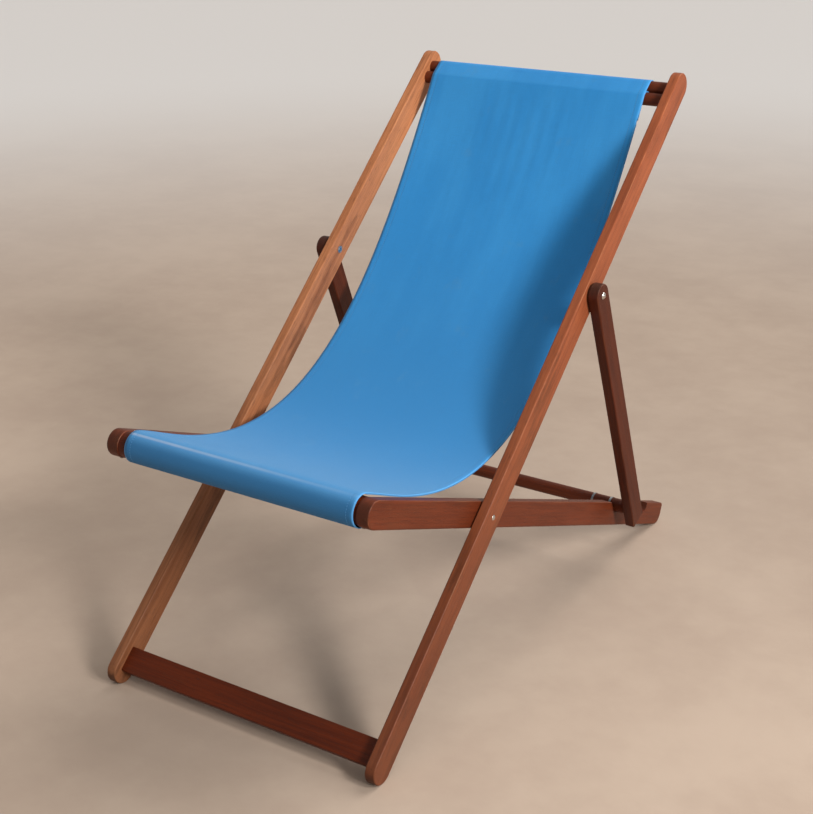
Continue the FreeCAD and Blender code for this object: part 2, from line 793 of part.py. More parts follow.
def make_prop():
    for name, side in SIDES:
        make_strut(f"prop_strut_{name}", side)
    make_round_bar(
        "prop_bar", size("bar_dia"), size("strut_inner"),
        BAR_AXIS, STRUT_DIR, nailed_from_plus_y=True,
    )
    rear = V(0, -STRUT_DIR.z, STRUT_DIR.y)
    across = number("strut_inner") + number("tenon_len") / 2
    rail_nails("prop_nails", [BAR_AXIS], rear, number("strut_depth") / 2, across)
    bands = []
    inner = number("bar_dia") / 2
    outer = inner + number("band_thick")
    wide = number("band_wide")
    seat_middle = (number("seat_inner") + number("seat_outer")) / 2
    for _, side in SIDES:
        for middle in (number("seat_inner") - number("band_inner"), seat_middle):
            base = BAR_AXIS + V(side * middle - wide / 2, 0, 0)
            sleeve = Part.makeCylinder(outer, wide, base, V(1, 0, 0))
            bands.append(sleeve.cut(Part.makeCylinder(inner, wide, base, V(1, 0, 0))))
    make_group("prop_bar_bands", bands)


def make_pivots():
    play = size("washer_play")
    hole = size("rivet_dia")
    half_span = number("rail_span") / 2
    for name, side in SIDES:
        prop_grip = size("strut_thick") + size("prop_gap") + size("back_thick")
        strut_face = number("strut_outer") + number("washer_play")
        head = ("prop_head_dia", "prop_head_high")
        grip = prop_grip + play
        make_rivet(f"prop_rivet_{name}", side, PROP_PIVOT, strut_face, head, grip)
        inner_face = side_placement(PROP_PIVOT, BACK_DIR, side, number("back_inner"))
        make_ring(f"prop_burr_{name}", size("burr_dia"), hole, size("burr_thick"), inner_face)
        washer_face = number("strut_inner") - number("washer_play")
        between = side_placement(PROP_PIVOT, BACK_DIR, side, washer_face)
        thick = size("prop_gap") - play
        make_ring(f"prop_washer_{name}", size("washer_dia"), hole, thick, between)

        seat_grip = size("back_thick") + size("seat_gap") + size("seat_thick") + play
        head = ("pivot_head_dia", "pivot_head_high")
        make_rivet(f"pivot_rivet_{name}", side, PIVOT, half_span, head, seat_grip)
        burr_face = number("seat_inner") - number("washer_play")
        inside = side_placement(PIVOT, BACK_DIR, side, burr_face)
        make_ring(f"pivot_burr_{name}", size("burr_dia"), hole, size("burr_thick"), inside)
        between = side_placement(PIVOT, BACK_DIR, side, number("back_inner"))
        thick = size("seat_gap") - play
        make_ring(f"pivot_washer_{name}", size("washer_dia"), hole, thick, between)


def check_and_export():
    doc.recompute()
    for thing in doc.Objects:
        if {"Invalid", "Error"} & set(thing.State):
            raise RuntimeError(f"{thing.Label} did not compute: {thing.State}")
    for piece in finished:
        shape = piece.Shape
        if shape.isNull() or not shape.isValid() or not shape.Solids:
            raise RuntimeError(f"{piece.Label} is not a valid solid")
    os.makedirs("parts", exist_ok=True)
    for piece in finished:
        piece.Shape.exportStep(f"parts/{piece.Label}.step")
        print(f"{piece.Label}: {len(piece.Shape.Solids)} solid(s), {piece.Shape.Volume:.0f} mm3")


make_back_frame()
make_seat_frame()
make_prop()
make_pivots()
make_sling()
make_tacks()
check_and_export()
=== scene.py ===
"""A folding wooden deck chair: its canvas sling, its varnished wood and its metal."""

import json
import math

import bpy
from mathutils import Matrix, Vector, noise

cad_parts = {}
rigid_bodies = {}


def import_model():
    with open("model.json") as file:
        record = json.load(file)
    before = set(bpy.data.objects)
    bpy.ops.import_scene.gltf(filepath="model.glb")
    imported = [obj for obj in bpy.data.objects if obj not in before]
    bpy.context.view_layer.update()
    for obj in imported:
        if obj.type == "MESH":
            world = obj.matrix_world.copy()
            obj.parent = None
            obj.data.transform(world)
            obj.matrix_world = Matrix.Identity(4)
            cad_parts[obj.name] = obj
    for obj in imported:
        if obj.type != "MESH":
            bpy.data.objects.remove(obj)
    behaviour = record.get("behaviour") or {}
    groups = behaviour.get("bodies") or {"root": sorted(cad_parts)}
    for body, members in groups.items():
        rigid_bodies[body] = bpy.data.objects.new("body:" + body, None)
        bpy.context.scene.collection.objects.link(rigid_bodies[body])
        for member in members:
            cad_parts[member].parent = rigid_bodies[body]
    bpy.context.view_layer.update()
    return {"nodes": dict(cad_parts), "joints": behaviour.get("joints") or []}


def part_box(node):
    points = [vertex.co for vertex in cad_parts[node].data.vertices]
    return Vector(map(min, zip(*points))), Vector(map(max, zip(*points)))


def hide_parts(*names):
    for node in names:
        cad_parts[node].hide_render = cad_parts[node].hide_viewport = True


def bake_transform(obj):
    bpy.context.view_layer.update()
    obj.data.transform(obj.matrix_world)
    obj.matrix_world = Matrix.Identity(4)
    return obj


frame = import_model()
NODES = frame["nodes"]

# ------------------------------------------------------------------ the chair's lines

ACROSS = Vector((1, 0, 0))


def joint_point(name):
    """Where a joint's axis crosses the middle of the chair."""
    joint = next(j for j in frame["joints"] if j["name"] == name)
    return Vector((0, joint["pos_m"][1], joint["pos_m"][2]))


def middle(node):
    """The middle of a piece, in the plane halfway across the chair."""
    low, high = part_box(node)
    return Vector((0, (low.y + high.y) / 2, (low.z + high.z) / 2))


NOTCH_AT = 0.541            # main pivot to the notch in use, along a seat rail
NOTCH_LIFT = 0.017          # prop bar above the middle of a seat rail
NOSE_AT = 0.318             # main pivot to the middle of the front bar
FRONT_BAR_RADIUS = 0.0205

PIVOT = joint_point("seat_fold")
PROP_PIVOT = joint_point("prop_swing")
PROP_BAR = middle("prop_bar")
UPPER_DOWEL = middle("top_dowel_upper")
LOWER_DOWEL = middle("top_dowel_lower")


def facing(angle):
    """The direction at an angle in the side view, from the rear towards up."""
    return Vector((0, math.cos(angle), math.sin(angle)))


to_bar = PROP_BAR - PIVOT
BACK_SLOPE = math.atan2((PROP_PIVOT - PIVOT).z, (PROP_PIVOT - PIVOT).y)
SEAT_SLOPE = math.atan2(-to_bar.z, to_bar.y) + math.atan2(NOTCH_LIFT, NOTCH_AT)
STRUT_SLOPE = math.atan2((PROP_PIVOT - PROP_BAR).z, (PROP_BAR - PROP_PIVOT).y)
BACK_DIR = facing(BACK_SLOPE)
SEAT_DIR = facing(-SEAT_SLOPE)
SEAT_UP = facing(math.pi / 2 - SEAT_SLOPE)
FRONT_BAR = PIVOT - SEAT_DIR * NOSE_AT


# ------------------------------------------------------------------ shader tools

class Value:
    """One socket's number; arithmetic on it adds Math nodes to its material."""

    def __init__(self, shader, socket):
        self.shader = shader
        self.socket = socket

    def math(self, operation, *others):
        sockets = dict(enumerate((self,) + others))
        return self.shader.node("ShaderNodeMath", {"operation": operation}, sockets)

    def __add__(self, other):
        return self.math("ADD", other)

    def __mul__(self, other):
        return self.math("MULTIPLY", other)

    def __sub__(self, other):
        return self.math("SUBTRACT", other)

    def __rsub__(self, other):
        return self.math("MULTIPLY", -1.0) + other

    def __truediv__(self, other):
        return self.math("DIVIDE", other)

    __radd__ = __add__
    __rmul__ = __mul__

    def sine(self):
        return self.math("SINE")

    def size(self):
        return self.math("ABSOLUTE")

    def clear(self):
        """Held between 0 and 1."""
        return self.math("MAXIMUM", 0.0).math("MINIMUM", 1.0)

    def step(self, low, high):
        """0 below low, 1 above high, and smooth between."""
        settings = {"interpolation_type": "SMOOTHSTEP"}
        return self.shader.node("ShaderNodeMapRange", settings, {0: self, 1: low, 2: high})


class Shader:
    """A material round one Principled surface."""

    def __init__(self, name, **constants):
        self.material = bpy.data.materials.new(name)
        self.material.use_nodes = True
        self.tree = self.material.node_tree
        self.surface = self.tree.nodes["Principled BSDF"]
        for socket, value in constants.items():
            self.surface.inputs[socket.replace("_", " ")].default_value = value

    def node(self, kind, settings=None, sockets=None, output=0):
        made = self.tree.nodes.new(kind)
        for key, value in (settings or {}).items():
            setattr(made, key, value)
        for key, value in (sockets or {}).items():
            self.feed(made.inputs[key], value)
        return Value(self, made.outputs[output])

    def feed(self, socket, value):
        if isinstance(value, Value):
            self.tree.links.new(value.socket, socket)
        else:
            socket.default_value = value

    def paint(self, **sockets):
        """Feed the surface's own sockets."""
        for name, value in sockets.items():
            self.feed(self.surface.inputs[name.replace("_", " ")], value)

    def between(self, first, second, factor):
        """One colour where the factor is 0, the other where it is 1."""
        sockets = {0: factor, 6: first, 7: second}
        return self.node("ShaderNodeMix", {"data_type": "RGBA"}, sockets, output=2)

    def place(self, coordinates, turn=(0, 0, 0), shift=(0, 0, 0), scale=(1, 1, 1)):
        """Coordinates turned and shifted, then scaled."""
        sockets = {0: coordinates, "Rotation": turn, "Location": shift}
        turned = self.node("ShaderNodeMapping", {"vector_type": "POINT"}, sockets)
        return self.node("ShaderNodeMapping", {"vector_type": "POINT"}, {0: turned, "Scale": scale})

    def noise(self, coordinates, scale, detail=3.0, roughness=0.55, distortion=0.0):
        sockets = {
            "Vector": coordinates,
            "Scale": scale,
            "Detail": detail,
            "Roughness": roughness,
            "Distortion": distortion,
        }
        return self.node("ShaderNodeTexNoise", {"noise_dimensions": "3D"}, sockets)

    def along(self, vector, direction):
        """How much of a vector lies along a direction."""
        settings = {"operation": "DOT_PRODUCT"}
        sockets = {0: vector, 1: direction}
        return self.node("ShaderNodeVectorMath", settings, sockets, output=1)

    def bump(self, height, depth):
        """Raise the surface by height times depth, in metres."""
        made = self.tree.nodes.new("ShaderNodeBump")
        made.inputs["Strength"].default_value = 1.0
        made.inputs["Distance"].default_value = depth
        self.feed(made.inputs["Height"], height)
        self.tree.links.new(made.outputs[0], self.surface.inputs["Normal"])


def rgb(red, green, blue):
    return (red, green, blue, 1.0)


# ------------------------------------------------------------------ wood

PALE_WOOD = rgb(0.50, 0.25, 0.12)     # bare wood where the varnish has worn away
END_GRAIN = rgb(0.040, 0.014, 0.008)
STAIN = rgb(0.105, 0.035, 0.014)
LOW_DIRT_AND_SHADE = rgb(0.030, 0.010, 0.005)   # darker towards the feet: painted shade, partly dirt gathered there
LOW_DARK_FROM, LOW_DARK_TO = 0.05, 0.85       # heights between which it thins out
GRAIN_RELIEF = 0.00022


def varnished_wood(name, slope, light, dark, edge, seed, wear=1.0, low_dirt_and_shade=0.0, crosswise=False):
    """Oiled and varnished hardwood with its grain along a piece.

    slope is the piece's slope in the side view, and crosswise pieces run across the
    chair.  edge is the direction that tells a rounded arris from the flat faces.
    wear and low_dirt_and_shade run from 0 to 1."""
    shader = Shader(name, Coat_Roughness=0.30, Specular_IOR_Level=0.16)
    own = shader.node("ShaderNodeTexCoord", output=3)
    normal = shader.node("ShaderNodeTexCoord", output=1)
    turn = (0, 0, math.pi / 2) if crosswise else (-slope, 0, 0)
    shift = (seed * 0.37, seed * 1.91, seed * 0.73)

    def figure(thin, long, detail, roughness, distortion=0.0):
        """Marks in the wood: thin is how many a metre across the grain, long along it."""
        placed = shader.place(own, turn, shift, (thin, long, thin))
        return shader.noise(placed, 1.0, detail, roughness, distortion)

    streaks = figure(150, 4.5, 4.0, 0.6, 0.6)
    fine = figure(620, 11, 3.0, 0.7)
    pores = figure(1500, 60, 2.0, 0.5)
    patches = figure(9, 5, 2.0, 0.5)

    tone = streaks * 0.85 + fine * 0.45 + patches * 0.5 - 0.40
    colour = shader.between(dark, light, tone.step(0.18, 0.80))
    pore = pores.step(0.58, 0.70)
    colour = shader.between(colour, END_GRAIN, pore * 0.40)

    # end grain, where the surface faces along the fibres
    lengthwise = ACROSS if crosswise else facing(slope)
    facing_end = shader.along(normal, lengthwise).size().step(0.45, 0.95)
    colour = shader.between(colour, END_GRAIN, facing_end * 0.60)

    # wear along the rounded arrises, and scuffs over the faces
    across = shader.along(normal, edge)
    square = across * across
    arris = (4.0 * square * (1.0 - square)).step(0.80, 1.0)
    worn = arris * figure(60, 14, 4.0, 0.65).step(0.42, 0.66) * wear
    scuff = figure(38, 22, 6.0, 0.75).step(0.62, 0.75) * 0.45 * wear
    stained = figure(30, 5, 5.0, 0.68).step(0.50, 0.68) * 0.55 * wear
    colour = shader.between(colour, STAIN, stained)
    bare = (worn + scuff).clear()
    colour = shader.between(colour, PALE_WOOD, bare * 0.65)
    # darker towards the feet: painted shade, partly dirt
    low = 1.0 - shader.along(own, (0, 0, 1)).step(LOW_DARK_FROM, LOW_DARK_TO)
    colour = shader.between(colour, LOW_DIRT_AND_SHADE, low * (0.75 + 0.5 * patches) * low_dirt_and_shade)

    shader.paint(
        Base_Color=colour,
        Roughness=0.42 + 0.14 * fine + 0.16 * bare,
        Coat_Weight=(0.10 - 0.10 * bare).clear(),
    )
    shader.bump(fine * 0.5 - pore * 0.8 + streaks * 0.3 - bare * 0.3, GRAIN_RELIEF)
    return shader.material


RAIL_LIGHT, RAIL_DARK = rgb(0.44, 0.125, 0.048), rgb(0.25, 0.062, 0.024)
TAN_LIGHT, TAN_DARK = rgb(0.62, 0.245, 0.105), rgb(0.34, 0.115, 0.045)
SEAT_LIGHT, SEAT_DARK = rgb(0.155, 0.030, 0.009), rgb(0.085, 0.016, 0.005)
PROP_LIGHT, PROP_DARK = rgb(0.095, 0.017, 0.005), rgb(0.045, 0.008, 0.003)
FOOT_LIGHT, FOOT_DARK = rgb(0.120, 0.018, 0.003), rgb(0.060, 0.009, 0.002)


def finish_wood():
    """Each wooden piece gets wood of its own, so that no two have the same grain."""
    rails = (
        ("back_rail_left", BACK_SLOPE, TAN_LIGHT, TAN_DARK, 1.0, 0.55),
        ("back_rail_right", BACK_SLOPE, RAIL_LIGHT, RAIL_DARK, 0.9, 0.62),
        ("seat_rail_left", -SEAT_SLOPE, SEAT_LIGHT, SEAT_DARK, 0.4, 0.0),
        ("seat_rail_right", -SEAT_SLOPE, SEAT_LIGHT, SEAT_DARK, 0.4, 0.0),
        ("prop_strut_left", -STRUT_SLOPE, PROP_LIGHT, PROP_DARK, 0.25, 0.0),
        ("prop_strut_right", -STRUT_SLOPE, PROP_LIGHT, PROP_DARK, 0.25, 0.0),
    )
    for seed, (node, slope, light, dark, wear, dirt_and_shade) in enumerate(rails, 1):
        wood = varnished_wood(f"{node}_wood", slope, light, dark, ACROSS, seed, wear, dirt_and_shade)
        set_material(NODES[node], wood)
    cross_members = (
        ("foot_stretcher", FOOT_LIGHT, FOOT_DARK, 0.3),
        ("top_dowel_upper", SEAT_LIGHT, SEAT_DARK, 0.0),
        ("top_dowel_lower", SEAT_LIGHT, SEAT_DARK, 0.0),
        ("front_bar", FOOT_LIGHT, FOOT_DARK, 0.0),
        ("prop_bar", SEAT_LIGHT, SEAT_DARK, 0.0),
    )
    for seed, (node, light, dark, wear) in enumerate(cross_members, 11):
        wood = varnished_wood(
            f"{node}_wood", 0, light, dark, BACK_DIR, seed, wear, crosswise=True
        )
        set_material(NODES[node], wood)


def set_material(piece, material):
    piece.data.materials.clear()
    piece.data.materials.append(material)


# ------------------------------------------------------------------ metal

SCRATCH_RELIEF = 0.00005


def dull_metal(name, colour, tarnish, roughness, spots):
    """Plain steel with fine scratches and darker spots."""
    shader = Shader(name, Metallic=1.0)
    own = shader.node("ShaderNodeTexCoord", output=3)
    blotch = shader.noise(own, 260.0, 5.0, 0.65).step(0.62 - spots, 0.80 - spots)
    scratch = shader.noise(shader.place(own, scale=(3000, 400, 400)), 1.0, 2.0, 0.5)
    shader.paint(
        Base_Color=shader.between(colour, tarnish, blotch),
        Roughness=roughness + 0.18 * blotch + 0.10 * scratch,
        Metallic=1.0 - 0.5 * blotch,
    )
    shader.bump(scratch * 0.4 + blotch, SCRATCH_RELIEF)
    return shader.material


def finish_metal():
    """Rivets, washers and burrs, nails, and the prop bar's bands."""
    rivet = dull_metal("rivet_metal", rgb(0.60, 0.58, 0.55), rgb(0.30, 0.24, 0.18), 0.22, 0.0)
    washer = dull_metal("washer_metal", rgb(0.50, 0.49, 0.47), rgb(0.20, 0.15, 0.11), 0.38, 0.10)
    nail = dull_metal("nail_metal", rgb(0.36, 0.33, 0.30), rgb(0.14, 0.07, 0.04), 0.50, 0.18)
    band = dull_metal("band_metal", rgb(0.36, 0.36, 0.36), rgb(0.15, 0.13, 0.12), 0.52, 0.10)
    for node, piece in NODES.items():
        if "rivet" in node:
            set_material(piece, rivet)
        elif "washer" in node or "burr" in node:
            set_material(piece, washer)
        elif "nails" in node:
            set_material(piece, nail)
        elif "bands" in node:
            set_material(piece, band)


# ------------------------------------------------------------------ the sling's canvas

CLOTH_THICK = 0.0012
THREAD_PITCH = 0.0011
SELVEDGE = 0.003
HEM_WIDE = 0.012
HEM_LINE = 0.0016            # half the width of the groove at the hem's inner edge, with painted shade in it
DARKEN_FROM, DARKEN_TO = 0.35, 0.90          # where the cloth turns darker, along it from its loose tail
SEAT_PALE_FROM, SEAT_PALE_TO = 0.85, 1.20
UNFADED_AND_SHADED_WITHIN = 0.020       # past the bend, how soon the cloth turns darker: painted shade on the front band, partly cloth the sun has faded less
HIGHLIGHT_CORE, HIGHLIGHT_EDGE = 0.0006, 0.0042      # half widths of the painted highlight line on the bend
WEAVE_RELIEF = 0.00022
THREAD_RELIEF = 0.0001
SLING_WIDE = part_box("sling")[1].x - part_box("sling")[0].x


def canvas(crease_at):
    """Sun-faded blue cotton canvas; its map is in metres, across and along the strip.

    crease_at is how far along it bends over the front bar."""
    shader = Shader(
        "sling_canvas", Specular_IOR_Level=0.2, Sheen_Weight=0.10, Sheen_Roughness=0.5
    )
    shader.surface.inputs["Sheen Tint"].default_value = rgb(0.75, 0.85, 1.0)
    strip = shader.node("ShaderNodeUVMap", {"uv_map": "strip"})
    across = shader.along(strip, (1, 0, 0))
    along = shader.along(strip, (0, 1, 0))
    turns = 2 * math.pi / THREAD_PITCH
    weave = (across * turns).sine() * (along * turns).sine() * 0.5 + 0.5
    warp = shader.noise(shader.place(strip, scale=(900, 45, 1)), 1.0, 2.0, 0.5)
    weft = shader.noise(shader.place(strip, scale=(40, 900, 1)), 1.0, 2.0, 0.5)
    thread = (warp * 0.5 + weft * 0.5).step(0.35, 0.65)
    cloud = shader.noise(shader.place(strip, scale=(6.0, 3.0, 1)), 1.0, 3.0, 0.55)
    stain = shader.noise(shader.place(strip, scale=(16, 12, 1)), 1.0, 5.0, 0.65)
    streak = shader.noise(shader.place(strip, scale=(34, 2.5, 1)), 1.0, 3.0, 0.5)

    blue = rgb(0.032, 0.295, 0.715)
    faded = rgb(0.046, 0.345, 0.790)
    darker_along = rgb(0.036, 0.250, 0.575)
    dust_and_sheen = rgb(0.100, 0.310, 0.580)
    deep_tone_and_shade = rgb(0.016, 0.150, 0.400)
    unfaded_and_shaded = rgb(0.026, 0.150, 0.350)
    highlight_pale = rgb(0.30, 0.41, 0.60)
    selvedge_and_rim_light = rgb(0.12, 0.42, 0.86)
    colour = shader.between(blue, faded, (cloud * 0.7 + streak * 0.3).step(0.40, 0.62))
    # darker further along the cloth, from its loose tail towards the seat
    colour = shader.between(colour, darker_along, along.step(DARKEN_FROM, DARKEN_TO))
    # paler over the seat: painted sheen, partly dust and wear
    seat_wear_and_sheen = along.step(SEAT_PALE_FROM, SEAT_PALE_TO)
    colour = shader.between(colour, dust_and_sheen, seat_wear_and_sheen * (0.35 + 0.5 * cloud))
    colour = shader.between(colour, dust_and_sheen, stain.step(0.58, 0.72) * 0.30)
    # darker where the weave dips: painted shade between the threads; the thread noise adds uneven
    # thread tone
    colour = shader.between(colour, deep_tone_and_shade, (1.0 - weave) * 0.18 + (1.0 - thread) * 0.14)
    beyond = along - crease_at
    # darker past the bend over the front bar: painted shade on the front band, partly cloth the sun
    # has faded less
    colour = shader.between(colour, unfaded_and_shaded, beyond.step(0.0, UNFADED_AND_SHADED_WITHIN) * 0.85)
    # a pale line along the bend over the front bar: a painted highlight, weaker towards +x
    fade = (0.60 - across / SLING_WIDE).clear()
    line = 1.0 - beyond.size().step(HIGHLIGHT_CORE, HIGHLIGHT_EDGE)
    painted_highlight = line * fade * (0.45 + streak * 0.55)
    colour = shader.between(colour, highlight_pale, painted_highlight)
    from_edge = (SLING_WIDE / 2 - across).math("MINIMUM", across + SLING_WIDE / 2)
    # a paler line along each long edge: painted rim highlight, partly a paler selvedge
    selvedge = 1.0 - from_edge.step(SELVEDGE * 0.3, SELVEDGE)
    colour = shader.between(colour, selvedge_and_rim_light, selvedge * 0.6)
    hem_step = (from_edge - HEM_WIDE).size().step(0.0, HEM_LINE)
    # darker in the groove at the hem's inner edge: painted shade
    colour = shader.between(colour, deep_tone_and_shade, (1.0 - hem_step) * 0.30)
    shader.paint(Base_Color=colour, Roughness=0.84 + 0.10 * thread)
    shader.bump(weave * 0.8 + thread * 0.5 + hem_step * 1.5, WEAVE_RELIEF)
    return shader.material


def thread_material():
    """Sewing thread a little paler than the canvas, twisted."""
    shader = Shader("sewing_thread", Roughness=0.7, Sheen_Weight=0.2)
    own = shader.node("ShaderNodeTexCoord", output=3)
    twist = shader.noise(own, 2400.0, 2.0, 0.5)
    shader.paint(Base_Color=shader.between(rgb(0.05, 0.24, 0.52), rgb(0.12, 0.38, 0.72), twist))
    shader.bump(twist, THREAD_RELIEF)
    return shader.material


# ------------------------------------------------------------------ the sling's line

BACK_PULL = 0.8462           # how far each end's direction carries into the hanging curve
SEAT_PULL = 0.1099
BACK_ANGLE = math.radians(60.84)
SEAT_ANGLE = math.radians(21.12)
TAIL = 0.045                 # loose end under the front layer, below the lower dowel
LAYER_GAP = 0.00025
BAR_SLACK = 0.0010           # the cloth's round sits a little above the middle of the bar
BAR_ROUND = 0.0254           # and is loose on it
CREASE_TURN = math.radians(38)  # from the top of the front bar to the painted highlight on the bend
FLAT_BACK = 0.014            # front bar's middle to its flat back
FLAP_OFF = 0.0013            # front bar's back to the middle of the tacked cloth
FLAP = 0.024
ROW_STEP = 0.006
COLUMNS = 74
TOP_SHIFT, FRONT_SHIFT = -0.0090, 0.0085     # the cloth has crept askew
TOP_WIDE, FRONT_WIDE = 0.4425, 0.4290
SAG_SPARE = 1.16             # rows in the hang, over those of a straight line there


def arc(centre, radius, start, end, steps):
    """Points of an arc in the side view, from one angle to another, ends included."""
    turns = (start + (end - start) * i / steps for i in range(steps + 1))
    return [centre + facing(angle) * radius for angle in turns]


def straight(start, end):
    """Points between two ends, without the ends."""
    count = max(1, round((end - start).length / ROW_STEP))
    return [start.lerp(end, i / count) for i in range(1, count)]


def hanging(start, end):
    """The cloth's free line between the lower dowel and the front bar, without its ends."""
    poles = (
        start,
        start - facing(BACK_ANGLE) * BACK_PULL,
        end + facing(-SEAT_ANGLE) * SEAT_PULL,
        end,
    )
    count = round((end - start).length * SAG_SPARE / ROW_STEP)
    points = []
    for i in range(1, count):
        t = i / count
        points.append(
            poles[0] * (1 - t) ** 3
            + poles[1] * 3 * (1 - t) ** 2 * t
            + poles[2] * 3 * (1 - t) * t ** 2
            + poles[3] * t ** 3
        )
    return points


def sling_line():
    """The middle of the cloth's thickness, from its loose tail to its tacked end.

    The tail lies behind the front layer.  It goes up between the dowels, round the back
    and over the top of the upper one, and down in front, where its own weight locks it.
    Returns the points, and the row numbers where the hanging part starts and ends."""
    over = (UPPER_DOWEL - LOWER_DOWEL).length / 2
    outer = over + CLOTH_THICK + LAYER_GAP
    front = BACK_SLOPE + math.pi / 2
    leave_at = BACK_ANGLE + math.pi / 2
    tail = LOWER_DOWEL + facing(leave_at) * over
    tail_end = tail - facing(BACK_ANGLE) * TAIL
    points = [tail_end] + straight(tail_end, tail)
    points += arc(LOWER_DOWEL, over, leave_at, BACK_SLOPE, 9)
    points += arc(UPPER_DOWEL, over, BACK_SLOPE + math.pi, front + 2 * math.pi, 24)[1:]
    points += straight(points[-1], LOWER_DOWEL + facing(front) * outer)
    points += arc(LOWER_DOWEL, outer, front, leave_at, 4)
    first = len(points) - 1

    bar = FRONT_BAR + SEAT_UP * BAR_SLACK
    arrive_at = math.pi / 2 - SEAT_ANGLE
    under = math.pi * 3 / 2 - SEAT_SLOPE
    points += hanging(points[-1], bar + facing(arrive_at) * BAR_ROUND)
    last = len(points)
    points += arc(bar, BAR_ROUND, arrive_at, under, 20)
    corner = FRONT_BAR + SEAT_DIR * FLAT_BACK - SEAT_UP * FRONT_BAR_RADIUS
    points += straight(points[-1], corner - SEAT_UP * FLAP_OFF)
    points += arc(corner, FLAP_OFF, under, under + math.pi / 2, 4)
    flap_end = points[-1] + SEAT_UP * FLAP
    points += straight(points[-1], flap_end) + [flap_end]
    return points, first, last


def lengths_along(points):
    """How far each point is along the line, from its first point."""
    run = [0.0]
    for before, after in zip(points, points[1:]):
        run.append(run[-1] + (after - before).length)
    return run


class Strip:
    """The cloth's rows and columns, and where each point of it hangs."""

    def __init__(self):
        self.line, self.first, self.last = sling_line()
        self.run = lengths_along(self.line)
        self.rows = len(self.line)
        self.wide = COLUMNS + 1

    def share(self, row):
        """0 where the hanging part starts, 1 where it ends."""
        run = self.run
        away = (run[row] - run[self.first]) / (run[self.last] - run[self.first])
        return min(1.0, max(0.0, away))

    def home(self, row, column):
        """A point's place before the cloth is rumpled or settles."""
        share = self.share(row)
        middle_at = TOP_SHIFT + (FRONT_SHIFT - TOP_SHIFT) * share
        width = TOP_WIDE + (FRONT_WIDE - TOP_WIDE) * share
        point = self.line[row]
        return Vector((middle_at + width * (column / COLUMNS - 0.5), point.y, point.z))

    def homes(self):
        """Every point's place, row by row, as (row, column, place)."""
        for row in range(self.rows):
            for column in range(self.wide):
                yield row, column, self.home(row, column)

    def mesh(self, name):
        """A piece with one face per row and column, and its map in metres."""
        made = bpy.data.meshes.new(name)
        faces = []
        for row in range(self.rows - 1):
            for column in range(COLUMNS):
                corner = row * self.wide + column
                faces.append((corner, corner + self.wide, corner + self.wide + 1, corner + 1))
        made.from_pydata([place for _, _, place in self.homes()], [], faces)
        layer = made.uv_layers.new(name="strip")
        for loop in made.loops:
            row, column = divmod(loop.vertex_index, self.wide)
            layer.data[loop.index].uv = (SLING_WIDE * (column / COLUMNS - 0.5), self.run[row])
        made.update()
        piece = bpy.data.objects.new(name, made)
        bpy.context.scene.collection.objects.link(piece)
        return piece


# ------------------------------------------------------------------ the sling's hang

SETTLE_FRAMES = 30
MOVE_LIMIT = 0.010
EDGE_FALLOFF = 4             # how quickly the extra tightness dies away from the edges
EDGE_SHRINK, MIDDLE_SHRINK = 0.004, -0.002
HELD_WITHIN = 0.06           # the cloth lies flat this near its held ends
SEAT_SHARE, SEAT_SPREAD = 0.70, 0.18     # where the sitter stretches it, as shares of the hang
RUMPLE, SEAT_RUMPLE = 0.0006, 0.0022


def hang_cloth(piece, strip):
    """Let the free part hang between its held ends, its two long edges drawn tighter."""
    held = piece.vertex_groups.new(name="held")
    tight = piece.vertex_groups.new(name="tight")
    for index, (row, column, _) in enumerate(strip.homes()):
        if not strip.first < row < strip.last:
            held.add([index], 1.0, "REPLACE")
        tight.add([index], abs(2 * column / COLUMNS - 1) ** EDGE_FALLOFF, "REPLACE")
    cloth = piece.modifiers.new("Cloth", "CLOTH")
    cloth.settings.quality = 8
    cloth.settings.mass = 0.4
    cloth.settings.tension_stiffness = 80
    cloth.settings.compression_stiffness = 60
    cloth.settings.shear_stiffness = 20
    cloth.settings.bending_stiffness = 6
    cloth.settings.air_damping = 4
    cloth.settings.vertex_group_mass = held.name
    cloth.settings.vertex_group_shrink = tight.name
    cloth.settings.shrink_min = MIDDLE_SHRINK
    cloth.settings.shrink_max = EDGE_SHRINK
    cloth.collision_settings.use_collision = False
    cloth.point_cache.frame_start = 1
    cloth.point_cache.frame_end = SETTLE_FRAMES
    for number in range(1, SETTLE_FRAMES + 1):
        bpy.context.scene.frame_set(number)
    apply_modifiers(piece)
    bpy.context.scene.frame_set(1)


def keep_on_line(piece, strip):
    """Hold each row's middle on the sling's line, and every point near its own place."""
    places = [vertex.co.copy() for vertex in piece.data.vertices]
    for row in range(strip.rows):
        start = row * strip.wide
        homes = [strip.home(row, column) for column in range(strip.wide)]
        moves = [places[start + i] - home for i, home in enumerate(homes)]
        drift = sum(moves, Vector()) / len(moves)
        for i, (home, move) in enumerate(zip(homes, moves)):
            move = move - drift
            move.x = 0.0
            if move.length > MOVE_LIMIT:
                move *= MOVE_LIMIT / move.length
            piece.data.vertices[start + i].co = home + move


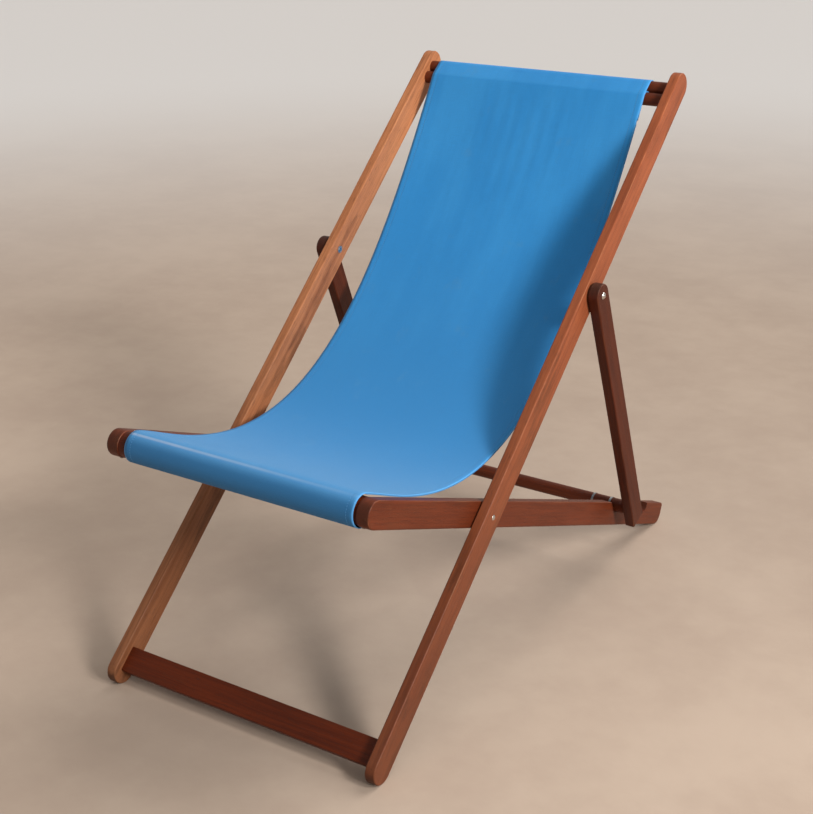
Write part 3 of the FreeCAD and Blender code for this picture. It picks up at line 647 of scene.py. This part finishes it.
def rumple(piece, strip):
    """Soft creases where a sitter has stretched the cloth."""
    normals = [vertex.normal.copy() for vertex in piece.data.vertices]
    start, end = strip.run[strip.first], strip.run[strip.last]
    for index, (row, _, home) in enumerate(strip.homes()):
        if not strip.first < row < strip.last:
            continue
        at = strip.run[row]
        held = min(1.0, (at - start) / HELD_WITHIN, (end - at) / HELD_WITHIN)
        seat = math.exp(-((strip.share(row) - SEAT_SHARE) / SEAT_SPREAD) ** 2)
        crease = noise.noise(Vector((home.x * 7.0, at * 9.0, 3.1)))
        diagonal = noise.noise(Vector(((home.x + at) * 12.0, (home.x - at) * 5.0, 8.4)))
        lift = held * (RUMPLE + SEAT_RUMPLE * seat) * (0.7 * crease + 0.6 * diagonal)
        piece.data.vertices[index].co += normals[index] * lift


def apply_modifiers(piece):
    deselect()
    bpy.context.view_layer.objects.active = piece
    piece.select_set(True)
    for modifier in list(piece.modifiers):
        bpy.ops.object.modifier_apply(modifier=modifier.name)
    piece.select_set(False)


def deselect():
    for piece in bpy.context.view_layer.objects:
        piece.select_set(False)


def smooth(piece):
    for face in piece.data.polygons:
        face.use_smooth = True


def thicken(piece):
    """Give a single layer the thickness of the cloth, half to each side."""
    cloth = piece.modifiers.new("Thickness", "SOLIDIFY")
    cloth.thickness = CLOTH_THICK
    cloth.offset = 0.0
    cloth.use_even_offset = True
    cloth.use_rim = True
    apply_modifiers(piece)
    smooth(piece)


def across_the_fold(piece):
    """Bake the piece's placement into its mesh."""
    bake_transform(piece)



# ------------------------------------------------------------------ hems and stitches

HEM_COLUMNS = 2
STITCH = 0.0042
STITCH_LONG = 0.0030
STITCH_THICK = 0.0007
STITCH_IN = 0.0095           # row of stitches to the edge of the cloth
STITCH_ROWS_BEFORE = 14      # rows of cloth stitched above the hang, and past it
STITCH_ROWS_AFTER = 18


def make_hems(strip, places, normals):
    """The two long edges, turned under and lying against the back of the cloth."""
    clear_of_tail = strip.run[strip.first] + TAIL
    low = next(row for row in range(strip.rows) if strip.run[row] > clear_of_tail)
    high = strip.last
    across = HEM_COLUMNS + 1
    verts = []
    faces = []
    for edge, way in ((0, 1), (COLUMNS, -1)):
        side = len(verts)
        for row in range(low, high):
            for step in range(across):
                index = row * strip.wide + edge + way * step
                verts.append(places[index] - normals[index] * (CLOTH_THICK + LAYER_GAP))
        for row in range(high - low - 1):
            for step in range(HEM_COLUMNS):
                corner = side + row * across + step
                face = (corner, corner + across, corner + across + 1, corner + 1)
                faces.append(face[::way])
    mesh = bpy.data.meshes.new("sling_hems")
    mesh.from_pydata(verts, [], faces)
    layer = mesh.uv_layers.new(name="strip")
    for loop in mesh.loops:
        row, step = divmod(loop.vertex_index % ((high - low) * across), across)
        layer.data[loop.index].uv = (step * HEM_WIDE, strip.run[low + row])
    piece = bpy.data.objects.new("sling_hems", mesh)
    bpy.context.scene.collection.objects.link(piece)
    thicken(piece)
    return piece


def stitch_shape():
    """Points and faces of one stitch, a unit long, wide and high."""
    deselect()
    bpy.ops.mesh.primitive_uv_sphere_add(segments=6, ring_count=4, radius=0.5)
    grain = bpy.context.object
    points = [vertex.co.copy() for vertex in grain.data.vertices]
    faces = [tuple(face.vertices) for face in grain.data.polygons]
    bpy.data.objects.remove(grain, do_unlink=True)
    return points, faces


def make_stitches(strip, places, normals):
    """A row of stitches down each long edge, through cloth and hem."""
    shape, shape_faces = stitch_shape()
    low = strip.first - STITCH_ROWS_BEFORE
    high = strip.last + STITCH_ROWS_AFTER
    verts = []
    faces = []
    count = int((strip.run[high] - strip.run[low]) / STITCH)
    inset = STITCH_IN / SLING_WIDE * COLUMNS
    row = low
    for number in range(count):
        at = strip.run[low] + number * STITCH
        while strip.run[row + 1] < at:
            row += 1
        part = (at - strip.run[row]) / (strip.run[row + 1] - strip.run[row])
        for column in (inset, COLUMNS - inset):
            near = row * strip.wide + round(column)
            beyond = near + strip.wide
            along = (places[beyond] - places[near]).normalized()
            outward = normals[near].lerp(normals[beyond], part).normalized()
            sideways = along.cross(outward)
            point = places[near].lerp(places[beyond], part) + outward * CLOTH_THICK / 2
            start = len(verts)
            for corner in shape:
                spread = sideways * corner.x * STITCH_THICK
                rise = outward * corner.z * STITCH_THICK
                verts.append(point + spread + along * corner.y * STITCH_LONG + rise)
            faces += [tuple(start + i for i in face) for face in shape_faces]
    mesh = bpy.data.meshes.new("hem_stitches")
    mesh.from_pydata(verts, [], faces)
    piece = bpy.data.objects.new("hem_stitches", mesh)
    bpy.context.scene.collection.objects.link(piece)
    smooth(piece)
    return piece


def make_sling():
    """The canvas with its hems and stitches, hung and finished."""
    strip = Strip()
    piece = strip.mesh("canvas_sling")
    rumple(piece, strip)
    hang_cloth(piece, strip)
    keep_on_line(piece, strip)
    places = [vertex.co.copy() for vertex in piece.data.vertices]
    normals = [vertex.normal.copy() for vertex in piece.data.vertices]
    thicken(piece)
    hems = make_hems(strip, places, normals)
    stitches = make_stitches(strip, places, normals)
    crease_at = strip.run[strip.last] + BAR_ROUND * CREASE_TURN
    cloth, thread = canvas(crease_at), thread_material()
    set_material(piece, cloth)
    set_material(hems, cloth)
    set_material(stitches, thread)
    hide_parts("sling")
    for part in (piece, hems, stitches):
        across_the_fold(part)


# ------------------------------------------------------------------ stage

FLOOR_PALE, FLOOR_DUSK = rgb(0.48, 0.38, 0.305), rgb(0.42, 0.325, 0.26)
FLOOR_FAR_LIT = rgb(0.67, 0.65, 0.64)
KEY_FROM = Vector((0.86, -0.26, 0.44))
SKY_FROM = Vector((0.20, 0.60, 0.77))
LAMP_AWAY = 2.4
LAMPS_ROUND = Vector((0, 0, 0.5))        # what the lamps stand round
KEY_SOFTNESS = math.radians(12)
SKY_SOFTNESS = math.radians(40)
FAR_KEY_POWER, NEAR_KEY_POWER, SKY_POWER, GLOW = 1.5, 28, 1.6, 0.38
LAMP_COLOUR = (1.0, 0.965, 0.92)
GLOW_COLOUR = rgb(1.0, 0.97, 0.93)
FLOOR_SIZE = 40
CAMERA_AT = (1.3013, -2.0196, 1.3356)
CAMERA_TURN, CAMERA_TILT, CAMERA_ROLL = 33.25, 68.17, -0.37      # degrees
CAMERA_LENS, CAMERA_SENSOR = 65.39, 36.0                         # millimetres


def make_floor():
    """A plain pale floor, faintly clouded near the chair, and painted paler far away as painted
    light where the lamps fall off.
    """
    deselect()
    bpy.ops.mesh.primitive_plane_add(size=FLOOR_SIZE)
    floor = bpy.context.object
    floor.name = "floor"
    shader = Shader("floor_paint", Roughness=0.8, Specular_IOR_Level=0.2)
    own = shader.node("ShaderNodeTexCoord", output=3)
    cloud = shader.noise(own, 2.2, 5.0, 0.6)
    fine = shader.noise(own, 14.0, 4.0, 0.6)
    mottle = (cloud * 0.75 + fine * 0.25).step(0.32, 0.68)
    near = shader.between(FLOOR_DUSK, FLOOR_PALE, mottle)
    # paler with distance from the chair: painted light making up for what the lamps lose far away
    away = shader.node("ShaderNodeVectorMath", {"operation": "LENGTH"}, {0: own}, output=1)
    shader.paint(Base_Color=shader.between(near, FLOOR_FAR_LIT, away.step(1.5, 6.0)))
    shader.bump(fine, 0.001)
    set_material(floor, shader.material)


def add_lamp(name, kind, power, from_way):
    """A lamp that shines on the chair from one direction; returns its settings."""
    data = bpy.data.lights.new(name, kind)
    data.energy = power
    data.color = LAMP_COLOUR
    lamp = bpy.data.objects.new(name, data)
    lamp.location = LAMPS_ROUND + from_way * LAMP_AWAY
    lamp.rotation_euler = from_way.to_track_quat("Z", "Y").to_euler()
    bpy.context.scene.collection.objects.link(lamp)
    return data


def make_lights():
    """A soft light from the sitter's left, part of it near enough to fade along the
    rails, a wide one from behind and above, and an even glow all round."""
    world = bpy.data.worlds.new("studio")
    world.use_nodes = True
    background = world.node_tree.nodes["Background"]
    background.inputs["Color"].default_value = GLOW_COLOUR
    background.inputs["Strength"].default_value = GLOW
    bpy.context.scene.world = world
    bpy.context.scene.view_settings.view_transform = "Standard"
    far_key = add_lamp("far_key", "SUN", FAR_KEY_POWER, KEY_FROM)
    far_key.angle = KEY_SOFTNESS
    near_key = add_lamp("near_key", "AREA", NEAR_KEY_POWER, KEY_FROM)
    near_key.shape = "DISK"
    near_key.size = 2 * LAMP_AWAY * math.tan(KEY_SOFTNESS / 2)
    sky = add_lamp("sky", "SUN", SKY_POWER, SKY_FROM)
    sky.angle = SKY_SOFTNESS


def make_camera():
    data = bpy.data.cameras.new("camera")
    data.sensor_width = CAMERA_SENSOR
    data.sensor_fit = "HORIZONTAL"
    data.lens = CAMERA_LENS
    camera = bpy.data.objects.new("camera", data)
    turn = Matrix.Rotation(math.radians(CAMERA_TURN), 4, "Z")
    tilt = Matrix.Rotation(math.radians(CAMERA_TILT), 4, "X")
    roll = Matrix.Rotation(math.radians(CAMERA_ROLL), 4, "Z")
    camera.matrix_world = Matrix.Translation(CAMERA_AT) @ turn @ tilt @ roll
    bpy.context.scene.collection.objects.link(camera)
    bpy.context.scene.camera = camera


# ------------------------------------------------------------------ making

finish_wood()
finish_metal()
make_sling()
make_floor()
make_lights()
make_camera()
